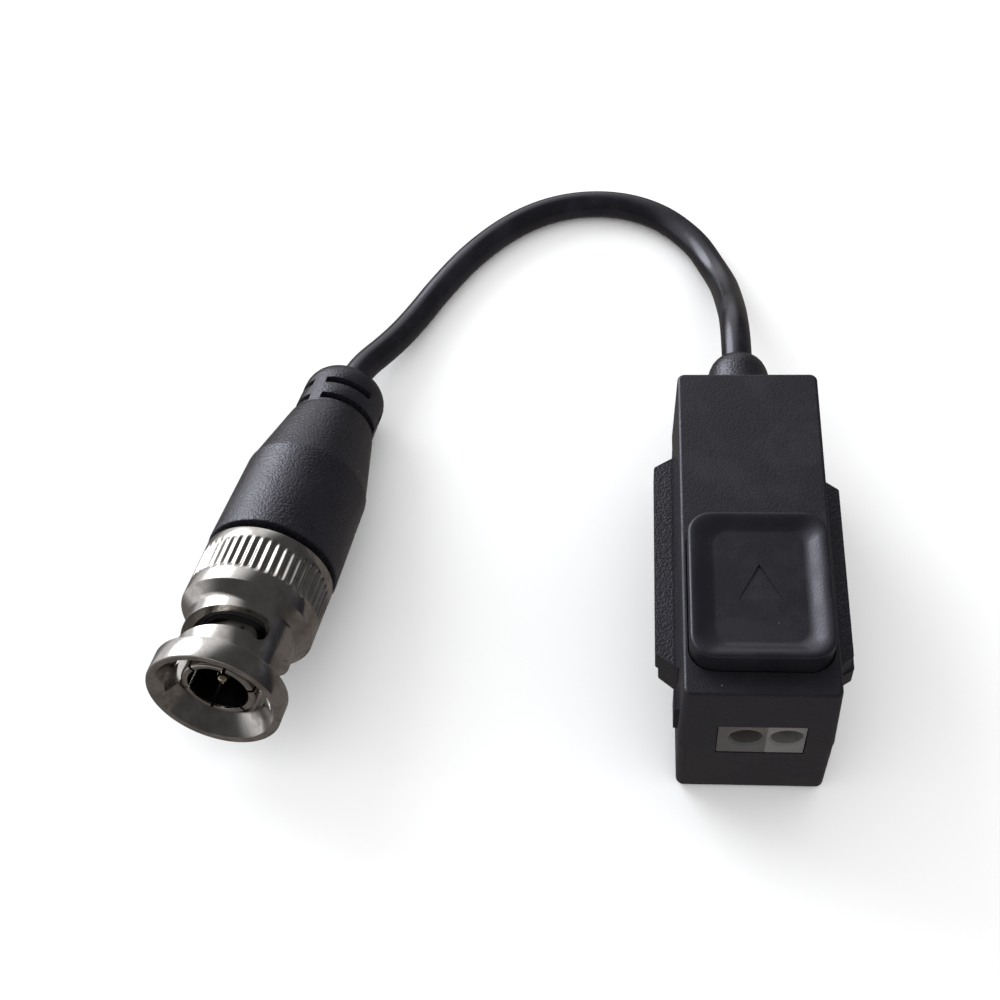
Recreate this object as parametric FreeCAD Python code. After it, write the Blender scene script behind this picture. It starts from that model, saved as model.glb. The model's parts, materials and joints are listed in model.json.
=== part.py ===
# Passive video balun with a short pigtail lead and a bayonet video plug.
# Millimetres. X is the housing's width, Y runs from the wire ports to the lead, Z is up.
# The origin is on the resting surface, under the middle of the housing.
import FreeCAD
import Part
import math
import os
from FreeCAD import Placement, Rotation, Vector

# Housing: two drafted shells that meet at a parting line
housing_length = 39.0
housing_height = 20.5
parting_height = 10.0
upper_half_width = 7.72
lower_half_width = 7.65
upper_draft_angle = 1.6
lower_draft_angle = 0.5
end_draft_angle = 0.8
shell_wall = 1.6
side_corner_radius = 0.8
top_edge_fillet = 0.35
bottom_edge_fillet = 0.76
lip_height = 0.9
lip_thickness = 0.6
lip_clearance = 0.08
lip_setback = 0.05

# Interlocking side rails, in two steps on the upper shell; distances along Y are from the front face
rail_front_root = 6.0
rail_front_outer = 7.5
rail_rear_outer = 30.3
rail_rear_root = 31.7
right_rail_shortening = 2.8
rail_step_height = 12.4
rail_top_height = 15.0
rail_wide_reach = 2.18
rail_narrow_reach = 1.82
rail_corner_fillet = 0.35
side_rib_reach = 0.5
side_rib_height = 1.6
side_rib_rear_setback = 1.2
latch_bump_reach = 0.4
latch_bump_front = 1.9
latch_bump_length = 2.6
latch_bump_height = 4.0

# Release pad: a dished push button that opens both wire clamps
pad_width = 13.7
pad_length = 16.4
pad_front_setback = 2.75
pad_proud = 2.7
pad_corner_radius = 2.4
pad_travel = 1.5
pad_clearance = 0.12
pad_skirt_depth = 0.4
pad_floor_wall = 1.1
pad_skirt_wall = 1.3
pad_edge_fillet = 0.3
dish_rim = 0.35
dish_slope_width = 1.7
dish_depth = 0.9
dish_fillet = 0.6
dish_corner_radius = 2.0
pocket_bottom_room = 0.3
hook_thickness = 1.0
hook_width = 2.6
hook_barb = 0.5
hook_land = 0.3
hook_play = 0.1
hook_depth = 1.3
hook_spread = 2.9
pusher_width = 2.2
pusher_length = 1.6
chevron_apex_setback = 5.75
chevron_height = 4.1
chevron_half_width = 2.1
chevron_stroke = 0.4
chevron_depth = 0.25

# Wire ports: two clamp blocks side by side in the front opening
opening_left = 3.95
opening_right = 4.8
opening_below_port = 3.15
opening_above_port = 2.45
port_pitch = 3.96
port_first_x = -1.05
port_height = 11.65
port_radius = 1.55
port_depth = 5.0
port_chamfer = 0.25
block_clearance = 0.1
block_recess = 0.1
block_top_rise = 2.95
clamp_cavity_width = 2.9
clamp_cavity_length = 6.2
block_rear_wall = 1.2
block_floor = 1.2
contact_thickness = 0.5
contact_width = 2.3
contact_end_gap = 0.2
tail_width = 0.8
tail_clearance = 0.08
tail_length = 1.2
tail_setback = 0.8
spring_thickness = 0.25
spring_width = 2.1
spring_bend_radius = 0.8
spring_reach = 4.0
spring_rise = 5.2
spring_arm_rise = 1.1
pusher_gap = 0.1

# Circuit board and the small parts on it
board_thickness = 1.2
board_bottom_height = 5.0
board_side_gap = 0.3
board_end_gap = 0.5
post_length = 3.0
post_width = 1.6
core_outer_radius = 3.6
core_inner_radius = 1.8
core_height = 2.6
core_gap = 1.25
winding_thickness = 0.35
winding_arc = 150.0
suppressor_length = 4.3
suppressor_width = 2.7
suppressor_height = 2.2
suppressor_x = -2.6
capacitor_length = 2.0
capacitor_width = 1.25
capacitor_height = 0.9
resistor_height = 0.55
chip_x = 2.6
chip_gap = 0.8
lead_drop_setback = 7.5
core_lead_radius = 0.45
braid_lead_radius = 0.65
lead_spread = 1.3

# Gland: moulded strain relief held in the rear wall
gland_flange_radius = 4.6
gland_flange_thickness = 1.2
gland_neck_radius = 3.4
gland_fit_clearance = 0.05
gland_axial_gap = 0.12
gland_base_radius = 4.0
gland_shoulder_radius = 3.55
gland_shoulder_setback = 3.1
gland_collar_radius = 4.5
gland_collar_length = 0.9
gland_length = 9.8
gland_tip_radius = 2.0

# Lead: laid on the surface in one loop from the gland to the plug
cable_diameter = 3.5
cable_exit_run = 4.0
bend_share = 0.45

# Plug: lies on its boot beside the housing, nose raised; stations run back from the nut's front face
plug_front_x = -54.72
plug_front_y = -16.2
plug_yaw_angle = 10.0

# Coupling nut
nut_ring_radius = 7.25
nut_ring_length = 2.5
nut_neck_radius = 5.95
nut_shoulder_start = 8.15
nut_shoulder_end = 10.2
nut_grip_radius = 7.3
knurl_start = 11.9
knurl_end = 16.3
knurl_count = 48
knurl_depth = 0.28
nut_length = 17.5
nut_edge_chamfer = 0.25
nut_bore_radius = 4.95
nut_mouth_radius = 6.2
nut_mouth_depth = 1.6
nut_cavity_start = 9.2
nut_cavity_radius = 6.35
nut_flange_thickness = 1.3
cam_start_angle = 0.0
cam_end_angle = 124.0
cam_start_station = 5.0
cam_end_station = 6.7
cam_width = 2.6
cam_detent_drop = 0.4
entry_slot_radius = 5.75
cam_patch_gap = 0.4

# Plug body, contacts and the washers that load the nut
axial_play = 0.05
body_front = 8.6
body_front_radius = 4.85
body_flange_gap = 0.6
body_flange_thickness = 1.0
body_flange_radius = 6.2
body_barrel_radius = 4.6
barrel_running_gap = 0.05
body_rear_radius = 4.1
ring_lip_width = 0.7
body_rear_end = 20.0
body_hub_radius = 3.8
body_hub_end = 22.6
body_stem_radius = 2.6
body_stem_end = 28.4
body_stem_bore = 1.6
contact_outer_radius = 4.05
contact_wall = 0.75
contact_front = 1.4
contact_seat_depth = 1.4
contact_slit_count = 6
contact_slit_width = 0.35
contact_slit_length = 5.6
contact_lead_in = 0.3
insulator_front = 8.0
insulator_end = 20.5
pin_radius = 0.675
pin_tip = 2.4
pin_collar_radius = 0.9
pin_end = 22.0
gasket_thickness = 0.6
gasket_clearance = 0.05
wave_height = 1.4
wave_thickness = 0.3
wave_count = 3
points_per_wave = 8
wave_inner_radius = 4.9
wave_outer_radius = 6.2
thrust_thickness = 0.4
thrust_inner_gap = 0.1
thrust_outer_radius = 6.2
ring_thickness = 0.6
ring_groove_depth = 0.6
ring_outer_radius = 5.5
ring_gap_angle = 40.0
ferrule_front_gap = 0.1
ferrule_overhang = 1.0
ferrule_wall = 0.45

# Plug boot
boot_front = 18.4
boot_front_radius = 7.4
boot_front_chamfer = 0.25
boot_barrel_end = 30.5
boot_barrel_radius = 7.15
boot_cone_end = 39.5
boot_cone_radius = 5.25
boot_tail_radius = 4.95
boot_tail_step = 0.5
boot_tail_end = 45.0
boot_length = 47.5
boot_tip_radius = 3.3
relief_slot_width = 1.0
relief_slot_first = 41.0
relief_slot_pitch = 2.7
relief_slot_count = 2
relief_slot_floor_radius = 3.6
relief_bridge_width = 2.4
relief_bridge_angle = -20.0

# Two lengths that differ by less than this are the same
tolerance = 1e-6

# Places that follow from the sizes above
front_y = -housing_length / 2
rear_y = housing_length / 2
cavity_top = housing_height - shell_wall
board_top_height = board_bottom_height + board_thickness
block_front_y = front_y + block_recess
cavity_front_y = block_front_y + port_depth
cavity_rear_y = cavity_front_y + clamp_cavity_length
block_rear_y = cavity_rear_y + block_rear_wall
block_split_x = port_first_x + port_pitch / 2
block_top_height = port_height + block_top_rise
opening_low = port_height - opening_below_port
opening_high = port_height + opening_above_port
core_y = block_rear_y + core_gap + winding_thickness + core_outer_radius
chips_front_y = core_y + core_outer_radius + winding_thickness + chip_gap
gland_inner_y = rear_y - shell_wall - gland_axial_gap
gland_start_y = gland_inner_y - gland_flange_thickness
gland_tip_y = rear_y + gland_length
ferrule_front = body_hub_end + ferrule_front_gap
ferrule_end = body_stem_end + ferrule_overhang
contact_top = port_height - port_radius
spring_foot_height = contact_top + spring_thickness / 2 + axial_play
spring_top_height = spring_foot_height + spring_rise
pad_front_y = front_y + pad_front_setback
pad_rear_y = pad_front_y + pad_length
pad_top_height = housing_height + pad_proud
pad_skirt_bottom = housing_height - pad_skirt_depth
dish_floor_height = pad_top_height - dish_depth
plug_tilt_angle = math.degrees(
    math.atan((boot_barrel_radius - boot_tail_radius) / (boot_tail_end - boot_barrel_end)))


def upper_width(height):
    return upper_half_width - (height - parting_height) * math.tan(math.radians(upper_draft_angle))


def lower_width(height):
    return lower_half_width - (parting_height - height) * math.tan(math.radians(lower_draft_angle))


def half_length(height):
    return rear_y - abs(height - parting_height) * math.tan(math.radians(end_draft_angle))


def box(low, high):
    size = [b - a for a, b in zip(low, high)]
    return Part.makeBox(size[0], size[1], size[2], Vector(*low))


def rounded_outline(left, right, front, rear, radius, height):
    face = Part.Face(Part.makePolygon([
        Vector(left, front, height), Vector(right, front, height),
        Vector(right, rear, height), Vector(left, rear, height), Vector(left, front, height)]))
    if radius <= 0:
        return face.OuterWire
    quarter = radius * math.sqrt(0.5)
    corners = [(right - radius, front + radius, -90), (right - radius, rear - radius, 0),
               (left + radius, rear - radius, 90), (left + radius, front + radius, 180)]
    edges = []
    ends = []
    for x, y, start in corners:
        first, last = math.radians(start), math.radians(start + 90)
        begin = Vector(x + radius * math.cos(first), y + radius * math.sin(first), height)
        end = Vector(x + radius * math.cos(last), y + radius * math.sin(last), height)
        middle_angle = (first + last) / 2
        middle = Vector(x + math.copysign(quarter, math.cos(middle_angle)),
                        y + math.copysign(quarter, math.sin(middle_angle)), height)
        ends.append((begin, middle, end))
    for index, (begin, middle, end) in enumerate(ends):
        edges.append(Part.Arc(begin, middle, end).toShape())
        edges.append(Part.LineSegment(end, ends[(index + 1) % len(ends)][0]).toShape())
    return Part.Wire(edges)


def drafted_block(low_size, high_size, low_height, high_height, radius):
    low_width, low_depth = low_size
    high_width, high_depth = high_size
    block = Part.makeWedge(-low_width, low_height, -low_depth, -high_depth, -high_width,
                           low_width, high_height, low_depth, high_depth, high_width)
    block.rotate(Vector(0, 0, 0), Vector(1, 0, 0), 90)
    corners = [edge for edge in block.Edges
               if abs(edge.Vertexes[0].Z - edge.Vertexes[1].Z) > tolerance]
    return block.makeFillet(radius, corners)


def level_edges(shape, height):
    return [edge for edge in shape.Edges
            if all(abs(vertex.Z - height) < tolerance for vertex in edge.Vertexes)]


def revolved(profile):
    points = [Vector(radius, 0, station) for radius, station in profile]
    face = Part.Face(Part.makePolygon(points + points[:1]))
    return face.revolve(Vector(0, 0, 0), Vector(0, 0, 1), 360)


def tube(inner_radius, outer_radius, start, end):
    return revolved([(inner_radius, start), (outer_radius, start), (outer_radius, end), (inner_radius, end)])


def rod(radius, start, end):
    return Part.makeCylinder(radius, end - start, Vector(0, 0, start))


# Quarter of an ellipse that leaves the side wall along the axis and meets the end face square to it
def rounded_end(wall_point, face_point):
    centre = Vector(face_point.x, 0, wall_point.z)
    longer, shorter = sorted([wall_point, face_point], key=centre.distanceToPoint, reverse=True)
    return Part.ArcOfEllipse(Part.Ellipse(longer, shorter, centre), 0, math.pi / 2).toShape()


def rounded_path(points, radii):
    edges = []
    start = points[0]
    for before, corner, after, radius in zip(points, points[1:], points[2:], radii):
        back = (before - corner).normalize()
        ahead = (after - corner).normalize()
        half_turn = (math.pi - back.getAngle(ahead)) / 2
        setback = radius * math.tan(half_turn)
        begin = corner + back * setback
        end = corner + ahead * setback
        bisector = (back + ahead).normalize()
        middle = corner + bisector * (radius / math.cos(half_turn) - radius)
        edges.append(Part.LineSegment(start, begin).toShape())
        edges.append(Part.Arc(begin, middle, end).toShape())
        start = end
    edges.append(Part.LineSegment(start, points[-1]).toShape())
    return Part.Wire(edges)


def bend_radii(points):
    radii = []
    for before, corner, after in zip(points, points[1:], points[2:]):
        shorter = min((corner - before).Length, (after - corner).Length)
        turn = math.pi - (before - corner).getAngle(after - corner)
        radii.append(bend_share * shorter / math.tan(turn / 2))
    return radii


def round_tube(path, radius):
    start = path.Edges[0]
    at = start.valueAt(start.FirstParameter)
    circle = Part.Wire(Part.Circle(at, start.tangentAt(start.FirstParameter), radius).toShape())
    return path.makePipeShell([circle], True, True)


def housing_profile(inset, lower):
    width = lower_width if lower else upper_width
    far_height = 0.0 if lower else housing_height
    near = (width(parting_height) - inset, half_length(parting_height) - inset)
    far = (width(far_height) - inset, half_length(far_height) - inset)
    return near, far


def front_opening():
    return box((-opening_left, front_y - shell_wall, opening_low),
               (opening_right, front_y + 2 * shell_wall, opening_high))


def gland_hole():
    radius = gland_neck_radius + gland_fit_clearance
    return Part.makeCylinder(radius, 3 * shell_wall,
                             Vector(0, rear_y - 2 * shell_wall, parting_height), Vector(0, 1, 0))


def lip_ring(clearance):
    inner, _ = housing_profile(shell_wall, lower=True)
    top = parting_height + lip_height + clearance
    outer_size = [value + lip_thickness + clearance for value in inner]
    outer = drafted_block(outer_size, outer_size, parting_height, top, side_corner_radius)
    inner_size = [value + lip_setback - 2 * clearance for value in inner]
    hollow = drafted_block(inner_size, inner_size, parting_height, top, side_corner_radius)
    return outer.cut(hollow)


def right_rail_end():
    return front_y + rail_rear_root - right_rail_shortening


def side_rail(side, reach, low, high):
    wall = upper_half_width - shell_wall / 2
    outer = upper_half_width + reach
    shortening = right_rail_shortening if side > 0 else 0.0
    rear_outer, rear_root = rail_rear_outer - shortening, rail_rear_root - shortening
    outline = [(wall, rail_front_root), (upper_half_width, rail_front_root), (outer, rail_front_outer),
               (outer, rear_outer), (upper_half_width, rear_root), (wall, rear_root)]
    points = [Vector(side * x, front_y + y, low) for x, y in outline]
    rail = Part.Face(Part.makePolygon(points + points[:1])).extrude(Vector(0, 0, high - low))
    corners = [edge for edge in rail.Edges
               if all(abs(abs(vertex.X) - outer) < tolerance for vertex in edge.Vertexes)
               and abs(edge.Vertexes[0].Z - edge.Vertexes[1].Z) > tolerance]
    return rail.makeFillet(rail_corner_fillet, corners)


def upper_shell():
    near, far = housing_profile(0.0, lower=False)
    outer = drafted_block(near, far, parting_height, housing_height, side_corner_radius)
    outer = outer.makeFillet(top_edge_fillet, level_edges(outer, housing_height))
    near, far = housing_profile(shell_wall, lower=False)
    cavity = drafted_block(near, far, parting_height, cavity_top, side_corner_radius)
    rails = [side_rail(-1, rail_wide_reach, rail_step_height, rail_top_height),
             side_rail(-1, rail_narrow_reach, parting_height, rail_step_height),
             side_rail(1, rail_narrow_reach, rail_step_height, rail_top_height),
             side_rail(1, rail_wide_reach, parting_height, rail_step_height)]
    rib_wall = upper_half_width - shell_wall / 2
    rib = box((rib_wall, right_rail_end() - side_rib_rear_setback, parting_height),
              (upper_half_width + side_rib_reach, rear_y - side_rib_rear_setback,
               parting_height + side_rib_height))
    bump = box((-upper_half_width - latch_bump_reach, front_y + latch_bump_front, parting_height),
               (-rib_wall, front_y + latch_bump_front + latch_bump_length,
                parting_height + latch_bump_height))
    solid = outer.fuse(rails + [rib, bump])
    pocket_floor = pad_skirt_bottom - pad_travel - pocket_bottom_room
    pocket = Part.Face(rounded_outline(
        -pad_width / 2 - pad_clearance, pad_width / 2 + pad_clearance,
        pad_front_y - pad_clearance, pad_rear_y + pad_clearance,
        pad_corner_radius + pad_clearance, pocket_floor)).extrude(Vector(0, 0, shell_wall * 3))
    cutters = [cavity, pocket, front_opening(), gland_hole(), lip_ring(lip_clearance)]
    return solid.cut(cutters).removeSplitter()


def board_limits():
    half_width = lower_width(board_bottom_height) - shell_wall - board_side_gap
    return half_width, front_y + shell_wall + board_end_gap, gland_start_y - board_end_gap


def lower_shell():
    near, far = housing_profile(0.0, lower=True)
    outer = drafted_block(far, near, 0.0, parting_height, side_corner_radius)
    outer = outer.makeFillet(bottom_edge_fillet, level_edges(outer, 0.0))
    near, far = housing_profile(shell_wall, lower=True)
    cavity = drafted_block(far, near, shell_wall, parting_height, side_corner_radius)
    half_width, front, rear = board_limits()
    posts = []
    for side in (-1, 1):
        for start in (front, rear - post_length):
            inner, reach = half_width - post_width, half_width + board_side_gap + shell_wall / 2
            posts.append(box((min(side * inner, side * reach), start, shell_wall / 2),
                             (max(side * inner, side * reach), start + post_length, board_bottom_height)))
    shell = outer.cut(cavity).fuse(posts + [lip_ring(0.0)])
    return shell.cut([front_opening(), gland_hole()]).removeSplitter()


def chevron():
    apex = Vector(0, pad_rear_y - chevron_apex_setback, dish_floor_height - chevron_depth)
    run = Vector(chevron_half_width, -chevron_height, 0)
    across = chevron_stroke * run.Length / chevron_half_width
    right_foot = apex + run
    left_foot = Vector(-right_foot.x, right_foot.y, right_foot.z)
    inner = Vector(0, -across, 0)
    slip = Vector(chevron_stroke * run.Length / chevron_height, 0, 0)
    points = [apex, right_foot, right_foot - slip, apex + inner, left_foot + slip, left_foot, apex]
    return Part.Face(Part.makePolygon(points)).extrude(Vector(0, 0, dish_depth))


def release_pad():
    half_width = pad_width / 2
    cap = Part.Face(rounded_outline(-half_width, half_width, pad_front_y, pad_rear_y,
                                    pad_corner_radius, pad_skirt_bottom))
    cap = cap.extrude(Vector(0, 0, pad_top_height - pad_skirt_bottom))
    rim = (half_width - dish_rim, pad_length / 2 - dish_rim)
    floor = [value - dish_slope_width for value in rim]
    dish = drafted_block(floor, rim, dish_floor_height, pad_top_height, dish_corner_radius)
    dish = dish.makeFillet(dish_fillet, level_edges(dish, dish_floor_height))
    dish.translate(Vector(0, pad_front_y + pad_length / 2, 0))
    cap = cap.makeFillet(pad_edge_fillet, level_edges(cap, pad_top_height)).cut(dish)
    hollow_top = dish_floor_height - pad_floor_wall
    hollow = Part.Face(rounded_outline(
        -half_width + pad_skirt_wall, half_width - pad_skirt_wall,
        pad_front_y + pad_skirt_wall, pad_rear_y - pad_skirt_wall,
        pad_corner_radius - pad_skirt_wall, pad_skirt_bottom)).extrude(
            Vector(0, 0, hollow_top - pad_skirt_bottom))
    pieces = []
    for across in (-hook_spread, hook_spread):
        for edge_y, outward in ((pad_front_y, -1), (pad_rear_y, 1)):
            pieces.append(snap_hook(across, edge_y, outward))
    for port_x in (port_first_x, port_first_x + port_pitch):
        pieces.append(box((port_x - pusher_width / 2, spring_tip_y(), spring_top_height + pusher_gap
                           + spring_thickness / 2),
                          (port_x + pusher_width / 2, spring_tip_y() + pusher_length, hollow_top)))
    return cap.cut([hollow, chevron()]).fuse(pieces).removeSplitter()


def snap_hook(across, edge_y, outward):
    barb_top = cavity_top - hook_play
    bottom = cavity_top - hook_depth
    side = [(0, pad_skirt_bottom), (0, barb_top), (hook_barb, barb_top), (hook_barb, barb_top - hook_land),
            (0, bottom), (-hook_thickness, bottom), (-hook_thickness, pad_skirt_bottom)]
    points = [Vector(across - hook_width / 2, edge_y + outward * y, z) for y, z in side]
    return Part.Face(Part.makePolygon(points + points[:1])).extrude(Vector(hook_width, 0, 0))


def spring_tip_y():
    return cavity_rear_y - contact_end_gap - spring_reach - spring_bend_radius


def terminal_block(port_x, left, right):
    nose = box((left, block_front_y, opening_low + block_clearance),
               (right, front_y + shell_wall + block_clearance, opening_high - block_clearance))
    body = box((left, front_y + shell_wall + block_clearance, board_top_height),
               (right, block_rear_y, block_top_height))
    bore = Part.makeCylinder(port_radius, port_depth, Vector(port_x, block_front_y, port_height),
                             Vector(0, 1, 0))
    mouth = Part.makeCone(port_radius + port_chamfer, port_radius, port_chamfer,
                          Vector(port_x, block_front_y, port_height), Vector(0, 1, 0))
    cavity = box((port_x - clamp_cavity_width / 2, cavity_front_y, board_top_height + block_floor),
                 (port_x + clamp_cavity_width / 2, cavity_rear_y, block_top_height))
    return nose.fuse(body).cut([bore, mouth, cavity, tail_slot(port_x)]).removeSplitter()


def tail_box(port_x, clearance, low, high):
    middle = cavity_rear_y - contact_end_gap - tail_setback
    return box((port_x - tail_width / 2 - clearance, middle - contact_thickness / 2 - clearance, low),
               (port_x + tail_width / 2 + clearance, middle + contact_thickness / 2 + clearance, high))


def tail_slot(port_x):
    return tail_box(port_x, tail_clearance, board_bottom_height - board_thickness,
                    board_top_height + block_floor + board_thickness)


def contact_bar(port_x):
    bar = box((port_x - contact_width / 2, cavity_front_y + contact_end_gap, contact_top - contact_thickness),
              (port_x + contact_width / 2, cavity_rear_y - contact_end_gap, contact_top))
    tail = tail_box(port_x, 0.0, board_bottom_height - tail_length, contact_top - contact_thickness / 2)
    return bar.fuse(tail).removeSplitter()


def clamp_spring(port_x):
    back = cavity_rear_y - contact_end_gap - spring_thickness / 2
    x = port_x - spring_width / 2
    foot = Vector(x, back - spring_reach, spring_foot_height)
    heel = Vector(x, back, spring_foot_height + spring_rise / 3)
    knee = Vector(x, back, spring_top_height - spring_arm_rise)
    tip = Vector(x, spring_tip_y(), spring_top_height)
    line = rounded_path([foot, heel, knee, tip], [spring_bend_radius, spring_bend_radius])
    side = line.makeOffset2D(spring_thickness / 2, 0, True, True)
    other = line.makeOffset2D(-spring_thickness / 2, 0, True, True)
    return side.fuse(other).removeSplitter().extrude(Vector(spring_width, 0, 0))


def circuit_board():
    half_width, front, rear = board_limits()
    board = box((-half_width, front, board_bottom_height), (half_width, rear, board_top_height))
    slots = [tail_slot(port_first_x), tail_slot(port_first_x + port_pitch)]
    return board.cut(slots)


def toroid_core():
    core = tube(core_inner_radius, core_outer_radius, 0.0, core_height)
    core.translate(Vector(0, core_y, board_top_height + winding_thickness))
    return core


def toroid_winding():
    ring = tube(core_inner_radius - winding_thickness, core_outer_radius + winding_thickness,
                -winding_thickness, core_height + winding_thickness)
    reach = 2 * core_outer_radius
    wedge = Part.makeCylinder(reach, 2 * core_height, Vector(0, 0, -winding_thickness), Vector(0, 0, 1),
                              winding_arc)
    wedge.rotate(Vector(0, 0, 0), Vector(0, 0, 1), -winding_arc / 2)
    other = wedge.copy()
    other.rotate(Vector(0, 0, 0), Vector(0, 0, 1), 180)
    half = ring.common(wedge)
    opposite = ring.common(other)
    winding = Part.makeCompound([half, opposite])
    winding.translate(Vector(0, core_y, board_top_height + winding_thickness))
    core = toroid_core()
    return Part.makeCompound([solid.cut(core) for solid in winding.Solids])


def chip(x, start_y, length, width, height):
    return box((x - width / 2, start_y, board_top_height),
               (x + width / 2, start_y + length, board_top_height + height))


def inner_lead(side, radius):
    x = side * lead_spread
    drop_y = rear_y - lead_drop_setback
    points = [Vector(x, gland_start_y, parting_height), Vector(x, drop_y, parting_height),
              Vector(x, drop_y, board_top_height)]
    return round_tube(rounded_path(points, [2 * radius + spring_bend_radius]), radius)


def cable_gland():
    outside = rear_y + gland_axial_gap
    shoulder = gland_tip_y - gland_shoulder_setback
    profile = [Vector(0, 0, gland_start_y), Vector(gland_flange_radius, 0, gland_start_y),
               Vector(gland_flange_radius, 0, gland_inner_y), Vector(gland_neck_radius, 0, gland_inner_y),
               Vector(gland_neck_radius, 0, outside), Vector(gland_collar_radius, 0, outside),
               Vector(gland_collar_radius, 0, outside + gland_collar_length),
               Vector(gland_base_radius, 0, outside + gland_collar_length),
               Vector(gland_shoulder_radius, 0, shoulder)]
    edges = [Part.LineSegment(a, b).toShape() for a, b in zip(profile, profile[1:])]
    end = Vector(gland_tip_radius, 0, gland_tip_y)
    edges.append(rounded_end(profile[-1], end))
    centre = Vector(0, 0, gland_tip_y)
    edges.append(Part.LineSegment(end, centre).toShape())
    edges.append(Part.LineSegment(centre, profile[0]).toShape())
    gland = Part.Face(Part.Wire(edges)).revolve(Vector(0, 0, 0), Vector(0, 0, 1), 360)
    gland.rotate(Vector(0, 0, 0), Vector(1, 0, 0), -90)
    gland.translate(Vector(0, 0, parting_height))
    return gland


def plug_axis():
    yaw, tilt = math.radians(plug_yaw_angle), math.radians(plug_tilt_angle)
    return Vector(math.sin(yaw) * math.cos(tilt), math.cos(yaw) * math.cos(tilt), -math.sin(tilt))


def plug_placement():
    tilt = math.radians(plug_tilt_angle)
    run, rise = math.cos(tilt), math.sin(tilt)
    barrel_rest = boot_barrel_radius * run + boot_barrel_end * rise
    tail_rest = boot_tip_radius * run + boot_tail_end * rise + math.hypot(
        (boot_tail_radius - boot_tip_radius) * run, (boot_length - boot_tail_end) * rise)
    height = max(barrel_rest, tail_rest)
    back = plug_axis()
    left = Vector(0, 0, 1).cross(back).normalize()
    up = back.cross(left)
    return Placement(Vector(plug_front_x, plug_front_y, height), Rotation(left, up, back, "ZXY"))


def on_plug(shape):
    placed = shape.copy()
    placed.Placement = plug_placement().multiply(placed.Placement)
    return placed


def plug_point(station):
    return plug_placement().multVec(Vector(0, 0, station))


def cable_route():
    lying = cable_diameter / 2
    return [
        Vector(0.0, gland_tip_y, parting_height),
        Vector(0.0, gland_tip_y + 4.1, parting_height),
        Vector(0.1, gland_tip_y + 8.9, 8.4),
        Vector(0.05, 42.9, 5.9),
        Vector(-0.3, 47.6, 3.7),
        Vector(-1.45, 52.1, 2.15),
        Vector(-3.4, 56.9, lying),
        Vector(-8.2, 61.7, lying),
        Vector(-14.6, 64.2, lying),
        Vector(-21.5, 63.8, lying),
        Vector(-27.6, 60.7, lying),
        Vector(-33.0, 55.2, lying),
        Vector(-37.4, 49.0, lying),
        Vector(-40.4, 43.8, 1.9),
        Vector(-43.0, 39.3, 2.7),
        plug_point(boot_length + cable_exit_run),
        plug_point(boot_length),
    ]


def pigtail_cable():
    points = cable_route()
    radii = bend_radii(points)
    path = rounded_path(points, radii)
    cable = round_tube(path, cable_diameter / 2)
    expected = math.pi * (cable_diameter / 2) ** 2 * path.Length
    print("cable length %.2f mm, volume %.1f of %.1f" % (path.Length, cable.Volume, expected))
    print("cable bend radii", " ".join("%.1f" % radius for radius in radii))
    return cable


def cam_patch(half_width, start_angle, end_angle):
    barrel = Part.Cylinder()
    barrel.Radius = nut_bore_radius - cam_patch_gap
    steps = 4
    front, rear = [], []
    for index in range(steps + 1):
        share = index / steps
        angle = math.radians(start_angle + (end_angle - start_angle) * share)
        station = cam_start_station + (cam_end_station - cam_start_station) * math.sin(share * math.pi / 2)
        front.append(FreeCAD.Base.Vector2d(angle, station - half_width))
        rear.append(FreeCAD.Base.Vector2d(angle, station + half_width))
    edges = []
    for points in (front, rear):
        curve = Part.Geom2d.BSplineCurve2d()
        curve.interpolate(points)
        edges.append(curve.toShape(barrel))
    edges.append(Part.Geom2d.Line2dSegment(front[-1], rear[-1]).toShape(barrel))
    edges.append(Part.Geom2d.Line2dSegment(rear[0], front[0]).toShape(barrel))
    patch = Part.Face(barrel, Part.Wire(Part.__sortEdges__(edges)))
    patch.validate()
    return patch.makeOffsetShape(nut_grip_radius - barrel.Radius, 1e-3, fill=True)


def radial_hole(angle, station, radius, reach):
    turn = math.radians(angle)
    direction = Vector(math.cos(turn), math.sin(turn), 0)
    start = direction * (contact_outer_radius * 0.5) + Vector(0, 0, station)
    return Part.makeCylinder(radius, reach, start, direction)


def cam_window():
    half_width = cam_width / 2
    slot = cam_patch(half_width, cam_start_angle, cam_end_angle)
    reach = nut_grip_radius
    entry = radial_hole(cam_start_angle, cam_start_station, half_width, reach)
    detent = radial_hole(cam_end_angle, cam_end_station - cam_detent_drop, half_width, reach)
    end = radial_hole(cam_end_angle, cam_end_station, half_width, reach)
    window = slot.fuse([entry, detent, end])
    entry_groove = box((0, -half_width, -1), (entry_slot_radius, half_width, cam_start_station))
    return window.fuse(entry_groove)


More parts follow.
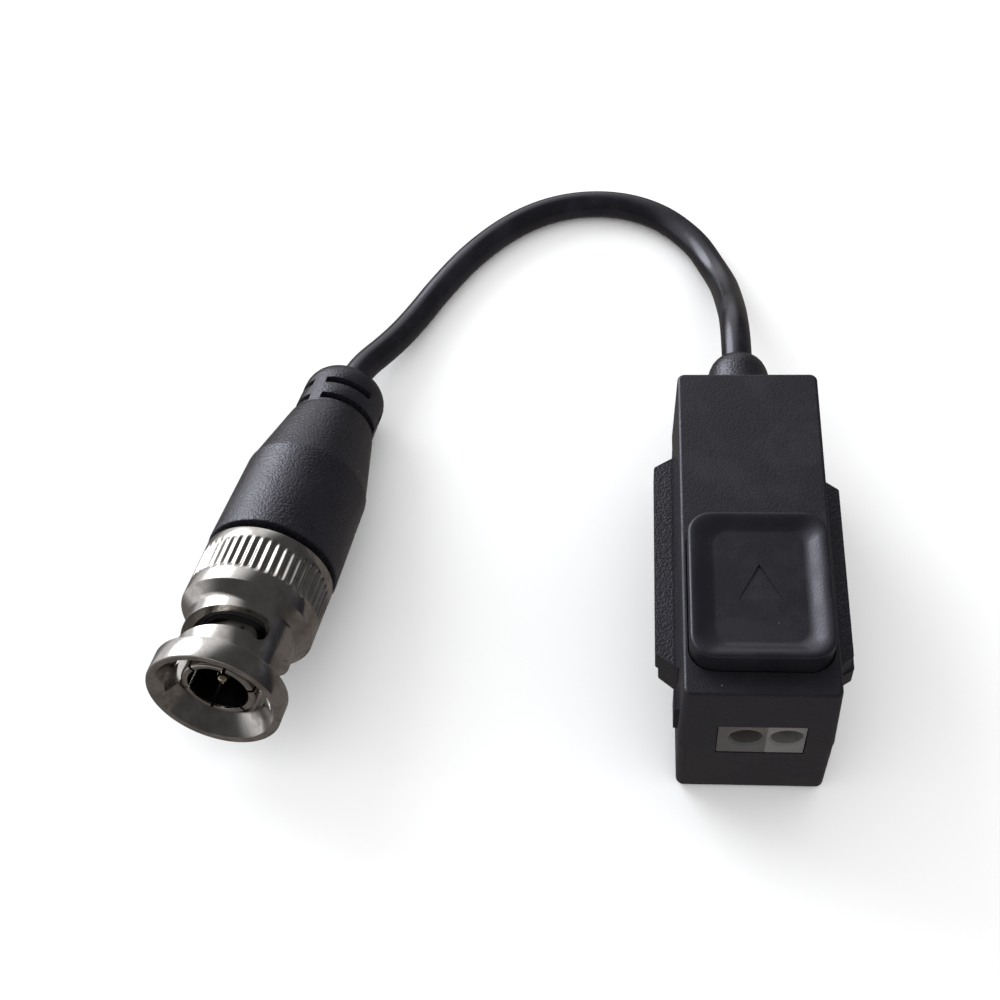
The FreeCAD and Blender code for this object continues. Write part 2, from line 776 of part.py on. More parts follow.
def coupling_nut():
    flange_start = nut_flange_station()
    flange_end = flange_start + nut_flange_thickness
    chamfer = nut_edge_chamfer
    profile = [(nut_mouth_radius, 0), (nut_ring_radius - chamfer, 0), (nut_ring_radius, chamfer),
               (nut_ring_radius, nut_ring_length - chamfer), (nut_ring_radius - chamfer, nut_ring_length),
               (nut_neck_radius, nut_ring_length), (nut_neck_radius, nut_shoulder_start),
               (nut_grip_radius, nut_shoulder_end), (nut_grip_radius, nut_length - chamfer),
               (nut_grip_radius - chamfer, nut_length), (nut_cavity_radius, nut_length),
               (nut_cavity_radius, flange_end), (body_barrel_radius + barrel_running_gap, flange_end),
               (body_barrel_radius + barrel_running_gap, flange_start), (nut_cavity_radius, flange_start),
               (nut_cavity_radius, nut_cavity_start), (nut_bore_radius, nut_cavity_start),
               (nut_bore_radius, nut_mouth_depth)]
    nut = revolved(profile)
    flutes = []
    half_groove = math.pi * nut_grip_radius / knurl_count / 2
    for index in range(knurl_count):
        points = [Vector(nut_grip_radius - knurl_depth, 0, knurl_start),
                  Vector(nut_grip_radius + knurl_depth, half_groove * 2, knurl_start),
                  Vector(nut_grip_radius + knurl_depth, -half_groove * 2, knurl_start)]
        flute = Part.Face(Part.makePolygon(points + points[:1])).extrude(
            Vector(0, 0, knurl_end - knurl_start))
        flute.rotate(Vector(0, 0, 0), Vector(0, 0, 1), 360.0 * index / knurl_count)
        flutes.append(flute)
    window = cam_window()
    opposite = window.copy()
    opposite.rotate(Vector(0, 0, 0), Vector(0, 0, 1), 180)
    return nut.cut(flutes).cut([window, opposite])


def body_flange_station():
    return nut_cavity_start + body_flange_gap


def wave_station():
    return body_flange_station() + body_flange_thickness + axial_play


def thrust_station():
    return wave_station() + wave_height + axial_play


def nut_flange_station():
    return thrust_station() + thrust_thickness + axial_play


def ring_station():
    return nut_flange_station() + nut_flange_thickness + axial_play


def plug_body():
    flange = body_flange_station()
    groove = ring_station()
    insulator_radius = contact_outer_radius - contact_wall
    seat = body_front + contact_seat_depth
    profile = [(contact_outer_radius, body_front), (body_front_radius, body_front),
               (body_front_radius, flange), (body_flange_radius, flange),
               (body_flange_radius, flange + body_flange_thickness),
               (body_barrel_radius, flange + body_flange_thickness), (body_barrel_radius, groove),
               (body_barrel_radius - ring_groove_depth, groove),
               (body_barrel_radius - ring_groove_depth, groove + ring_thickness),
               (body_barrel_radius, groove + ring_thickness),
               (body_barrel_radius, groove + ring_thickness + ring_lip_width),
               (body_rear_radius, groove + ring_thickness + ring_lip_width),
               (body_rear_radius, body_rear_end),
               (body_hub_radius, body_rear_end), (body_hub_radius, body_hub_end),
               (body_stem_radius, body_hub_end), (body_stem_radius, body_stem_end),
               (body_stem_bore, body_stem_end), (body_stem_bore, insulator_end),
               (insulator_radius, insulator_end), (insulator_radius, seat), (contact_outer_radius, seat)]
    return revolved(profile)


def outer_contact():
    inner = contact_outer_radius - contact_wall
    end = body_front + contact_seat_depth
    contact = revolved([(inner, contact_front), (contact_outer_radius - contact_lead_in, contact_front),
                        (contact_outer_radius, contact_front + contact_lead_in),
                        (contact_outer_radius, end), (inner, end)])
    slits = []
    for index in range(contact_slit_count):
        slit = box((0, -contact_slit_width / 2, contact_front),
                   (2 * contact_outer_radius, contact_slit_width / 2, contact_front + contact_slit_length))
        slit.rotate(Vector(0, 0, 0), Vector(0, 0, 1), 360.0 * (index + 0.5) / contact_slit_count)
        slits.append(slit)
    return contact.cut(slits)


def plug_insulator():
    radius = contact_outer_radius - contact_wall
    return tube(pin_collar_radius, radius, insulator_front, insulator_end)


def center_pin():
    tip = pin_tip + pin_radius
    edges = [Part.LineSegment(Vector(pin_radius, 0, tip), Vector(pin_radius, 0, insulator_front)).toShape(),
             Part.LineSegment(Vector(pin_radius, 0, insulator_front),
                              Vector(pin_collar_radius, 0, insulator_front)).toShape(),
             Part.LineSegment(Vector(pin_collar_radius, 0, insulator_front),
                              Vector(pin_collar_radius, 0, pin_end)).toShape(),
             Part.LineSegment(Vector(pin_collar_radius, 0, pin_end), Vector(0, 0, pin_end)).toShape(),
             Part.LineSegment(Vector(0, 0, pin_end), Vector(0, 0, pin_tip)).toShape(),
             Part.Arc(Vector(0, 0, pin_tip),
                      Vector(pin_radius * math.sqrt(0.5), 0, tip - pin_radius * math.sqrt(0.5)),
                      Vector(pin_radius, 0, tip)).toShape()]
    return Part.Face(Part.Wire(edges)).revolve(Vector(0, 0, 0), Vector(0, 0, 1), 360)


def front_gasket():
    return tube(contact_outer_radius + gasket_clearance, body_front_radius - gasket_clearance,
                body_front - gasket_thickness, body_front)


def wave_washer():
    amplitude = (wave_height - wave_thickness) / 2
    middle = wave_station() + amplitude
    rims = []
    for radius in (wave_inner_radius, wave_outer_radius):
        points = []
        for index in range(points_per_wave * wave_count):
            turn = 2 * math.pi * index / (points_per_wave * wave_count)
            points.append(Vector(radius * math.cos(turn), radius * math.sin(turn),
                                 middle + amplitude * math.sin(wave_count * turn)))
        curve = Part.BSplineCurve()
        curve.interpolate(points, PeriodicFlag=True)
        rims.append(curve.toShape())
    return Part.makeRuledSurface(rims[0], rims[1]).extrude(Vector(0, 0, wave_thickness))


def thrust_washer():
    start = thrust_station()
    return tube(body_barrel_radius + thrust_inner_gap, thrust_outer_radius, start, start + thrust_thickness)


def retaining_ring():
    start = ring_station()
    ring = tube(body_barrel_radius - ring_groove_depth, ring_outer_radius, start, start + ring_thickness)
    gap = Part.makeCylinder(2 * ring_outer_radius, ring_thickness, Vector(0, 0, start), Vector(0, 0, 1),
                            ring_gap_angle)
    return ring.cut(gap)


def crimp_ferrule():
    return tube(body_stem_radius, body_stem_radius + ferrule_wall, ferrule_front, ferrule_end)


def relief_slots():
    slots = []
    for index in range(relief_slot_count):
        start = relief_slot_first + index * relief_slot_pitch - relief_slot_width / 2
        ring = tube(relief_slot_floor_radius, 2 * boot_tail_radius, start, start + relief_slot_width)
        bridge = box((-3 * boot_tail_radius, -relief_bridge_width / 2, start),
                     (3 * boot_tail_radius, relief_bridge_width / 2, start + relief_slot_width))
        bridge.rotate(Vector(0, 0, 0), Vector(0, 0, 1), relief_bridge_angle)
        slots.append(ring.cut(bridge))
    return slots


def plug_boot():
    chamfer = boot_front_chamfer
    outline = [Vector(0, 0, boot_front), Vector(boot_front_radius - chamfer, 0, boot_front),
               Vector(boot_front_radius, 0, boot_front + chamfer),
               Vector(boot_barrel_radius, 0, boot_barrel_end),
               Vector(boot_cone_radius, 0, boot_cone_end),
               Vector(boot_tail_radius, 0, boot_cone_end + boot_tail_step),
               Vector(boot_tail_radius, 0, boot_tail_end)]
    edges = [Part.LineSegment(a, b).toShape() for a, b in zip(outline, outline[1:])]
    end = Vector(boot_tip_radius, 0, boot_length)
    edges.append(rounded_end(outline[-1], end))
    centre = Vector(0, 0, boot_length)
    edges.append(Part.LineSegment(end, centre).toShape())
    edges.append(Part.LineSegment(centre, outline[0]).toShape())
    boot = Part.Face(Part.Wire(edges)).revolve(Vector(0, 0, 0), Vector(0, 0, 1), 360)
    ferrule_radius = body_stem_radius + ferrule_wall
    held = [rod(body_rear_radius, boot_front, body_rear_end),
            rod(body_hub_radius, body_rear_end, body_hub_end),
            rod(body_stem_radius, body_hub_end, ferrule_front),
            rod(ferrule_radius, ferrule_front, ferrule_end)]
    return boot.cut(held + relief_slots())


def parts():
    second_port = port_first_x + port_pitch
    left = -opening_left + block_clearance
    right = opening_right - block_clearance
    resistor_front_y = chips_front_y + capacitor_length + chip_gap
    return {
        "lower_shell": lower_shell(),
        "upper_shell": upper_shell(),
        "release_pad": release_pad(),
        "terminal_block_left": terminal_block(port_first_x, left, block_split_x),
        "terminal_block_right": terminal_block(second_port, block_split_x, right),
        "clamp_spring_left": clamp_spring(port_first_x),
        "clamp_spring_right": clamp_spring(second_port),
        "contact_bar_left": contact_bar(port_first_x),
        "contact_bar_right": contact_bar(second_port),
        "circuit_board": circuit_board(),
        "toroid_core": toroid_core(),
        "toroid_winding": toroid_winding(),
        "surge_suppressor": chip(suppressor_x, chips_front_y, suppressor_length, suppressor_width,
                                 suppressor_height),
        "chip_capacitor": chip(chip_x, chips_front_y, capacitor_length, capacitor_width, capacitor_height),
        "chip_resistor": chip(chip_x, resistor_front_y, capacitor_length, capacitor_width,
                              resistor_height),
        "core_lead": inner_lead(1, core_lead_radius),
        "braid_lead": inner_lead(-1, braid_lead_radius),
        "cable_gland": cable_gland(),
        "pigtail_cable": pigtail_cable(),
        "plug_boot": on_plug(plug_boot()),
        "crimp_ferrule": on_plug(crimp_ferrule()),
        "plug_body": on_plug(plug_body()),
        "outer_contact": on_plug(outer_contact()),
        "plug_insulator": on_plug(plug_insulator()),
        "center_pin": on_plug(center_pin()),
        "front_gasket": on_plug(front_gasket()),
        "wave_washer": on_plug(wave_washer()),
        "thrust_washer": on_plug(thrust_washer()),
        "retaining_ring": on_plug(retaining_ring()),
        "coupling_nut": on_plug(coupling_nut()),
    }


os.makedirs("parts", exist_ok=True)
for node, shape in parts().items():
    bounds = shape.BoundBox
    print("%-22s solids %d valid %s volume %8.2f  x %.2f %.2f  y %.2f %.2f  z %.2f %.2f" % (
        node, len(shape.Solids), shape.isValid(), shape.Volume,
        bounds.XMin, bounds.XMax, bounds.YMin, bounds.YMax, bounds.ZMin, bounds.ZMax))
    shape.exportStep("parts/%s.step" % node)
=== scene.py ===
import bpy
import bmesh
import json
import math
from mathutils import Matrix, Vector


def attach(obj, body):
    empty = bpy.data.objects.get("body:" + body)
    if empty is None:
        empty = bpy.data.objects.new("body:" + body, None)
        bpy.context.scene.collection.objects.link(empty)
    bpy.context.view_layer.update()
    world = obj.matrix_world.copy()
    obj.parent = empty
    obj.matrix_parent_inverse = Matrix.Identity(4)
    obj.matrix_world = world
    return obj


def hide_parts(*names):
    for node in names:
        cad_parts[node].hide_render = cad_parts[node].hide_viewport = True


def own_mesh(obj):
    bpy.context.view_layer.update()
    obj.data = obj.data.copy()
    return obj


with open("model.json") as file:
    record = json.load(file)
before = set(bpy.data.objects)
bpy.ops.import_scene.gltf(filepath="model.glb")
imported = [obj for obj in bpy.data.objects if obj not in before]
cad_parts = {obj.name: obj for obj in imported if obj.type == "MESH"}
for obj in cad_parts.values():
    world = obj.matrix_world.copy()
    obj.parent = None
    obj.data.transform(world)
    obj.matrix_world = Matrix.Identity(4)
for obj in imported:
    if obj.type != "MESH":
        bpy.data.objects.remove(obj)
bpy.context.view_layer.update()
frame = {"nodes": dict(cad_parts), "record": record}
scene = bpy.context.scene
nodes = frame["nodes"]
millimetre = 0.001
metric = Matrix.Scale(millimetre, 4)    # pieces are shaped in millimetres, then brought to metres
print("frame loaded:", len(nodes), "nodes")

cameraSet = {
    "place": (-0.01320, -0.08745, 0.15100),
    "right": (0.99685, 0.04911, -0.06208),
    "ahead": (-0.0790, 0.5665, -0.8203),
    "lens": 55.84,
    "sensor": 36.0,
}


def addCamera(values):
    data = bpy.data.cameras.new("photoCamera")
    data.lens = values["lens"]
    data.sensor_width = values["sensor"]
    data.clip_start = 0.005
    data.clip_end = 5.0
    camera = bpy.data.objects.new("photoCamera", data)
    scene.collection.objects.link(camera)
    ahead = Vector(values["ahead"]).normalized()
    right = Vector(values["right"]).normalized()
    up = right.cross(ahead).normalized()
    turn = Matrix((right, up, -ahead)).transposed()
    camera.matrix_world = Matrix.Translation(values["place"]) @ turn.to_4x4()
    scene.camera = camera


addCamera(cameraSet)
print("camera placed")

# The plug's own frame: stations run back along its axis from the nut's front face
plugSet = {
    "front": (-54.72, -16.2),    # middle of the nut's front face, seen from above
    "yaw": 10.0,                 # turned in from the housing's direction
    "bootBarrel": (30.5, 7.15),  # station and radius of the boot's widest edge
    "bootTail": (45.0, 4.95),    # station and radius where the tail starts to round off
    "bootTip": (47.5, 3.3),      # station and radius of the end face
}


def plugFrame(values):
    barrelStation, barrelRadius = values["bootBarrel"]
    tailStation, tailRadius = values["bootTail"]
    tipStation, tipRadius = values["bootTip"]
    tilt = math.atan((barrelRadius - tailRadius) / (tailStation - barrelStation))
    run, rise = math.cos(tilt), math.sin(tilt)
    yaw = math.radians(values["yaw"])
    back = Vector((math.sin(yaw) * run, math.cos(yaw) * run, -rise))
    left = Vector((0, 0, 1)).cross(back).normalized()
    up = back.cross(left)
    height = tipRadius * run + tailStation * rise + math.hypot(
        (tailRadius - tipRadius) * run, (tipStation - tailStation) * rise)
    place = Vector((*values["front"], height)) * millimetre
    return Matrix.Translation(place) @ Matrix((left, up, back)).transposed().to_4x4()


plugPlace = plugFrame(plugSet)
plugMetric = plugPlace @ metric
print("plug frame found")

leadSet = {
    "diameter": 3.5,
    "exitRun": 3.2,
    "length": 93.4,
    "sides": 24,
    "route": [
        (0.0, 29.3, 10.0), (0.0, 33.4, 10.0), (-0.05, 38.2, 8.4), (-0.25, 42.9, 5.9),
        (-0.65, 47.6, 3.7), (-1.9, 52.1, 2.15), (-3.9, 56.9, 1.75), (-8.5, 61.8, 1.75),
        (-14.6, 64.2, 1.75), (-21.5, 63.8, 1.75), (-27.6, 60.7, 1.75), (-33.0, 55.2, 1.75),
        (-37.0, 49.0, 1.75), (-39.7, 43.7, 1.9), (-42.2, 38.9, 2.7),
    ],
}


def leadCurve(values):
    places = [Vector(point) * millimetre for point in values["route"]]
    for station in (plugSet["bootTip"][0] + values["exitRun"], plugSet["bootTip"][0]):
        places.append(plugPlace @ Vector((0, 0, station * millimetre)))
    data = bpy.data.curves.new("leadJacket", "CURVE")
    data.dimensions = "3D"
    spline = data.splines.new("NURBS")
    spline.points.add(len(places) - 1)
    for point, place in zip(spline.points, places):
        point.co = (*place, 1.0)
    spline.order_u = 3
    spline.use_endpoint_u = True
    spline.resolution_u = 12
    data.bevel_depth = values["diameter"] / 2 * millimetre
    data.bevel_resolution = values["sides"] // 4
    data.use_fill_caps = True
    lead = bpy.data.objects.new("leadJacket", data)
    scene.collection.objects.link(lead)
    return lead, places


lead, leadPlaces = leadCurve(leadSet)
print("lead laid through", len(leadPlaces), "points")


def newGroup(name, inputs, outputs):
    group = bpy.data.node_groups.new(name, "ShaderNodeTree")
    for label, kind, value in inputs:
        socket = group.interface.new_socket(name=label, in_out="INPUT", socket_type=kind)
        if value is not None:
            socket.default_value = value
    for label, kind in outputs:
        group.interface.new_socket(name=label, in_out="OUTPUT", socket_type=kind)
    return group, group.nodes.new("NodeGroupInput"), group.nodes.new("NodeGroupOutput")


def mathNode(tree, operation, first, second=None, clamp=False):
    node = tree.nodes.new("ShaderNodeMath")
    node.operation = operation
    node.use_clamp = clamp
    for socket, value in zip(node.inputs, (first, second)):
        if isinstance(value, bpy.types.NodeSocket):
            tree.links.new(value, socket)
        elif value is not None:
            socket.default_value = value
    return node.outputs[0]


def rangeNode(tree, value, low, high, newLow=0.0, newHigh=1.0):
    node = tree.nodes.new("ShaderNodeMapRange")
    node.interpolation_type = "SMOOTHSTEP"
    tree.links.new(value, node.inputs["Value"])
    for label, number in (("From Min", low), ("From Max", high), ("To Min", newLow), ("To Max", newHigh)):
        node.inputs[label].default_value = number
    return node.outputs["Result"]


def noiseNode(tree, vector, scale, detail=2.0, roughness=0.5):
    node = tree.nodes.new("ShaderNodeTexNoise")
    node.inputs["Detail"].default_value = detail
    node.inputs["Roughness"].default_value = roughness
    tree.links.new(vector, node.inputs["Vector"])
    if isinstance(scale, bpy.types.NodeSocket):
        tree.links.new(scale, node.inputs["Scale"])
    else:
        node.inputs["Scale"].default_value = scale
    return node.outputs["Fac"]


def grainGroup():    # pebbled mould texture, from the eroded steel of the mould; its Glint output is a painted highlight of bright specks
    group, given, out = newGroup(
        "mouldGrain",
        [("Vector", "NodeSocketVector", None), ("Pebbles per metre", "NodeSocketFloat", 3000.0)],
        [("Height", "NodeSocketFloat"), ("Glint", "NodeSocketFloat")])
    vector, scale = given.outputs["Vector"], given.outputs["Pebbles per metre"]
    cells = group.nodes.new("ShaderNodeTexVoronoi")
    cells.feature = "SMOOTH_F1"
    cells.inputs["Smoothness"].default_value = 0.6
    group.links.new(vector, cells.inputs["Vector"])
    group.links.new(scale, cells.inputs["Scale"])
    pebble = mathNode(group, "SUBTRACT", 1.0, cells.outputs["Distance"])
    fine = noiseNode(group, vector, mathNode(group, "MULTIPLY", scale, 2.3), 2.0, 0.6)
    height = mathNode(group, "ADD", mathNode(group, "MULTIPLY", pebble, 0.65), mathNode(group, "MULTIPLY", fine, 0.35))
    group.links.new(height, out.inputs["Height"])
    # painted highlight: sparse bright specks where the fine grain and a chance noise both run high
    chance = noiseNode(group, vector, mathNode(group, "MULTIPLY", scale, 0.9), 0.0)
    glint = mathNode(group, "MULTIPLY", rangeNode(group, fine, 0.6, 0.72), rangeNode(group, chance, 0.6, 0.7))
    group.links.new(glint, out.inputs["Glint"])
    return group


def dustGroup():    # sparse pale specks and soft handling marks
    group, given, out = newGroup(
        "dustAndMarks", [("Vector", "NodeSocketVector", None), ("Specks per metre", "NodeSocketFloat", 350.0)],
        [("Dust", "NodeSocketFloat"), ("Marks", "NodeSocketFloat")])
    vector, scale = given.outputs["Vector"], given.outputs["Specks per metre"]
    cells = group.nodes.new("ShaderNodeTexVoronoi")
    group.links.new(vector, cells.inputs["Vector"])
    group.links.new(scale, cells.inputs["Scale"])
    chosen = group.nodes.new("ShaderNodeSeparateColor")
    group.links.new(cells.outputs["Color"], chosen.inputs["Color"])
    size = mathNode(group, "MULTIPLY", chosen.outputs["Red"], 0.05)
    inside = mathNode(group, "LESS_THAN", cells.outputs["Distance"], size)
    dust = mathNode(group, "MULTIPLY", inside, rangeNode(group, chosen.outputs["Green"], 0.45, 0.9))
    group.links.new(dust, out.inputs["Dust"])
    marks = noiseNode(group, vector, 180.0, 4.0, 0.62)
    group.links.new(rangeNode(group, marks, 0.4, 0.68), out.inputs["Marks"])
    return group


def latheGroup():    # turning lines round the plug's axis, with stains and fine scratches
    group, given, out = newGroup(
        "latheMarks", [("Vector", "NodeSocketVector", None)],
        [("Lines", "NodeSocketFloat"), ("Stains", "NodeSocketFloat"), ("Radius", "NodeSocketFloat"),
         ("Station", "NodeSocketFloat")])
    vector = given.outputs["Vector"]
    apart = group.nodes.new("ShaderNodeSeparateXYZ")
    group.links.new(vector, apart.inputs["Vector"])
    squareX = mathNode(group, "MULTIPLY", apart.outputs["X"], apart.outputs["X"])
    squareY = mathNode(group, "MULTIPLY", apart.outputs["Y"], apart.outputs["Y"])
    radius = mathNode(group, "SQRT", mathNode(group, "ADD", squareX, squareY))
    group.links.new(radius, out.inputs["Radius"])
    group.links.new(apart.outputs["Z"], out.inputs["Station"])
    joined = group.nodes.new("ShaderNodeCombineXYZ")
    group.links.new(radius, joined.inputs["X"])
    group.links.new(apart.outputs["Z"], joined.inputs["Z"])
    lines = noiseNode(group, joined.outputs["Vector"], 9000.0, 3.0, 0.7)
    group.links.new(lines, out.inputs["Lines"])
    stains = noiseNode(group, vector, 420.0, 5.0, 0.65)
    group.links.new(rangeNode(group, stains, 0.38, 0.66), out.inputs["Stains"])
    return group


grain = grainGroup()
dust = dustGroup()
lathe = latheGroup()
print("shading groups made")


def baseMaterial(name, values):
    material = bpy.data.materials.new(name)
    material.use_nodes = True
    material.diffuse_color = (*values["colour"], 1.0)
    tree = material.node_tree
    shader = tree.nodes["Principled BSDF"]
    shader.inputs["Base Color"].default_value = (*values["colour"], 1.0)
    shader.inputs["Roughness"].default_value = values["roughness"]
    shader.inputs["Metallic"].default_value = values.get("metallic", 0.0)
    shader.inputs["Specular IOR Level"].default_value = values.get("gloss", 0.5)
    shader.inputs["Specular Tint"].default_value = (*values.get("sheen", (1.0, 1.0, 1.0)), 1.0)
    shader.inputs["Subsurface Weight"].default_value = values.get("glow", 0.0)
    where = tree.nodes.new("ShaderNodeTexCoord")
    return material, tree, shader, where.outputs["Object"]


def placedGroup(tree, group, vector, **settings):
    node = tree.nodes.new("ShaderNodeGroup")
    node.node_tree = group
    tree.links.new(vector, node.inputs["Vector"])
    for label, value in settings.items():
        node.inputs[label.replace("_", " ")].default_value = value
    return node


def blendColour(tree, mask, first, second):
    node = tree.nodes.new("ShaderNodeMix")
    node.data_type = "RGBA"
    tree.links.new(mask, node.inputs["Factor"])
    for label, value in (("A", first), ("B", second)):
        socket = [s for s in node.inputs if s.name == label and s.type == "RGBA"][0]
        if isinstance(value, bpy.types.NodeSocket):
            tree.links.new(value, socket)
        else:
            socket.default_value = (*value, 1.0)
    return [s for s in node.outputs if s.type == "RGBA"][0]


def addBump(tree, shader, height, depth, strength=1.0):
    bump = tree.nodes.new("ShaderNodeBump")
    bump.inputs["Distance"].default_value = depth * millimetre
    bump.inputs["Strength"].default_value = strength
    tree.links.new(height, bump.inputs["Height"])
    tree.links.new(bump.outputs["Normal"], shader.inputs["Normal"])


def mouldedMaterial(name, values):    # pebbled plastic or rubber with dust, handling marks and painted glint highlights
    material, tree, shader, vector = baseMaterial(name, values)
    pebbles = placedGroup(tree, grain, vector, Pebbles_per_metre=values["pebbles"])
    specks = placedGroup(tree, dust, vector, Specks_per_metre=values["specks"])
    worn = blendColour(tree, specks.outputs["Marks"], values["colour"], values["worn"])
    height, glint = pebbles.outputs["Height"], pebbles.outputs["Glint"]
    if "railStart" in values:    # the side rails are rougher than the faces and carry more painted glints
        apart = tree.nodes.new("ShaderNodeSeparateXYZ")
        tree.links.new(vector, apart.inputs["Vector"])
        start = values["railStart"] * millimetre
        coarse = rangeNode(tree, mathNode(tree, "ABSOLUTE", apart.outputs["X"]), start, start + 0.3 * millimetre,
                           values["faceGrain"], 1.0)
        height, glint = (mathNode(tree, "MULTIPLY", mask, coarse) for mask in (height, glint))
    # painted highlight: the glint specks are laid into the base colour in the dust and glint colour
    shiny = blendColour(tree, mathNode(tree, "MULTIPLY", glint, values["glint"]), worn, values["dustAndGlintColour"])
    dusty = blendColour(tree, mathNode(tree, "MULTIPLY", specks.outputs["Dust"], values["dust"]), shiny,
                        values["dustAndGlintColour"])
    tree.links.new(dusty, shader.inputs["Base Color"])
    low, high = values["roughness"] - values["spread"], values["roughness"] + values["spread"]
    tree.links.new(rangeNode(tree, specks.outputs["Marks"], 0.0, 1.0, low, high), shader.inputs["Roughness"])
    addBump(tree, shader, height, values["grainDepth"])
    return material


def platedMaterial(name, values):    # turned and plated metal, marks run round the plug's axis
    material, tree, shader, vector = baseMaterial(name, values)
    turned = tree.nodes.new("ShaderNodeMapping")
    turned.vector_type = "TEXTURE"
    turned.inputs["Location"].default_value = plugPlace.to_translation()
    turned.inputs["Rotation"].default_value = plugPlace.to_euler()
    tree.links.new(vector, turned.inputs["Vector"])
    marks = placedGroup(tree, lathe, turned.outputs["Vector"])
    tint = blendColour(tree, marks.outputs["Stains"], values["colour"], values["worn"])
    low, high = values["roughness"], values["roughness"] + values["spread"]
    rough = rangeNode(tree, marks.outputs["Stains"], 0.0, 1.0, low, high)
    if "shadedBore" in values:    # painted shade: the bore behind the front edge is darkened in colour and made rougher
        radius, station = (size * millimetre for size in values["shadedBore"])
        inside = mathNode(tree, "MULTIPLY",
                          rangeNode(tree, marks.outputs["Radius"], radius, radius + 0.1 * millimetre, 1.0, 0.0),
                          rangeNode(tree, marks.outputs["Station"], station, station + 0.2 * millimetre))
        tint = blendColour(tree, inside, tint, values["boreShadeColour"])
        rough = mathNode(tree, "ADD", rough, mathNode(tree, "MULTIPLY", inside, 0.3))
    tree.links.new(tint, shader.inputs["Base Color"])
    tree.links.new(rough, shader.inputs["Roughness"])
    addBump(tree, shader, marks.outputs["Lines"], values["lineDepth"])
    return material


blackPlastic = {"colour": (0.0092, 0.0087, 0.0116), "worn": (0.0118, 0.0112, 0.0146),
                "dustAndGlintColour": (0.17, 0.17, 0.19), "roughness": 0.44, "spread": 0.05, "pebbles": 4400.0,
                "specks": 560.0, "glint": 0.5, "dust": 0.9, "grainDepth": 0.03, "gloss": 0.68,
                "sheen": (0.85, 0.84, 0.97)}
finishes = {
    "housing": mouldedMaterial("housingPlastic", {**blackPlastic, "grainDepth": 0.085, "railStart": 7.85,
                                                  "faceGrain": 0.3, "glint": 0.9}),
    "pad": mouldedMaterial("padPlastic", {**blackPlastic, "roughness": 0.36, "grainDepth": 0.012, "glint": 0.12,
                                          "pebbles": 4600.0, "dust": 0.5}),
    "moulded_rubber": mouldedMaterial("bootRubber", {**blackPlastic, "roughness": 0.3, "grainDepth": 0.075,
                                                     "pebbles": 3800.0,
                                                     "glint": 0.45}),
    "cable_jacket": mouldedMaterial("jacketPvc", {**blackPlastic, "colour": (0.007, 0.0067, 0.0085), "roughness": 0.28,
                                                  "grainDepth": 0.008, "pebbles": 1500.0, "glint": 0.0, "dust": 0.6, "specks": 260.0}),
    "block_dark": mouldedMaterial("greyBlock", {**blackPlastic, "colour": (0.062, 0.056, 0.053),
                                                "worn": (0.078, 0.071, 0.067), "dustAndGlintColour": (0.3, 0.28, 0.27),
                                                "grainDepth": 0.012, "glint": 0.1, "glow": 0.05}),
    "block_light": mouldedMaterial("paleBlock", {**blackPlastic, "colour": (0.115, 0.108, 0.103),
                                                 "worn": (0.14, 0.132, 0.126), "dustAndGlintColour": (0.4, 0.38, 0.37),
                                                 "grainDepth": 0.012, "glint": 0.1, "glow": 0.05}),
    "insulator": mouldedMaterial("insulatorPlastic", {**blackPlastic, "colour": (0.011, 0.011, 0.012),
                                                      "roughness": 0.55, "grainDepth": 0.01, "glint": 0.0}),
    "gasket": mouldedMaterial("gasketRubber", {**blackPlastic, "colour": (0.02, 0.02, 0.02), "grainDepth": 0.01}),
    "board": mouldedMaterial("boardLaminate", {**blackPlastic, "colour": (0.012, 0.09, 0.035),
                                               "worn": (0.02, 0.11, 0.05), "grainDepth": 0.01, "roughness": 0.35}),
    "ferrite": mouldedMaterial("ferriteCeramic", {**blackPlastic, "colour": (0.03, 0.03, 0.03), "roughness": 0.6}),
    "chip_body": mouldedMaterial("chipCeramic", {**blackPlastic, "colour": (0.05, 0.045, 0.04), "grainDepth": 0.01}),
    "lead_insulation": mouldedMaterial("leadSleeve", {**blackPlastic, "colour": (0.5, 0.5, 0.48),
                                                      "worn": (0.55, 0.55, 0.52), "grainDepth": 0.005}),
    # the nickel's bore colour is painted shade inside the contact
    "nickel": platedMaterial("nickelPlate", {"colour": (0.56, 0.54, 0.515), "worn": (0.4, 0.375, 0.35),
                                             "roughness": 0.15, "spread": 0.12, "metallic": 1.0,
                                             "lineDepth": 0.002, "shadedBore": (3.45, 1.6),
                                             "boreShadeColour": (0.06, 0.055, 0.05)}),
    "gold": platedMaterial("goldPlate", {"colour": (0.66, 0.58, 0.42), "worn": (0.55, 0.47, 0.33),
                                         "roughness": 0.15, "spread": 0.1, "metallic": 1.0, "lineDepth": 0.001}),
    "spring_steel": platedMaterial("springSteel", {"colour": (0.55, 0.54, 0.52), "worn": (0.45, 0.44, 0.42),
                                                   "roughness": 0.28, "spread": 0.1, "metallic": 1.0,
                                                   "lineDepth": 0.002}),
    "tinned_copper": platedMaterial("tinnedCopper", {"colour": (0.7, 0.68, 0.64), "worn": (0.6, 0.55, 0.48),
                                                     "roughness": 0.25, "spread": 0.12, "metallic": 1.0,
                                                     "lineDepth": 0.001}),
    "enamelled_wire": platedMaterial("enamelledWire", {"colour": (0.55, 0.2, 0.06), "worn": (0.45, 0.15, 0.05),
                                                       "roughness": 0.25, "spread": 0.08, "metallic": 1.0,
                                                       "lineDepth": 0.001}),
}
slotOf = {entry["node"]: entry["material_slot"] for entry in frame["record"]["subparts"]}
bodyOf = {name: body for body, members in frame["record"]["behaviour"]["bodies"].items() for name in members}
for name, node in nodes.items():
    node.data.materials.clear()
    node.data.materials.append(finishes[slotOf[name]])
print("materials made:", len(finishes))

lead.data.materials.append(finishes["cable_jacket"])
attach(lead, "housing")
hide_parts("pigtail_cable")


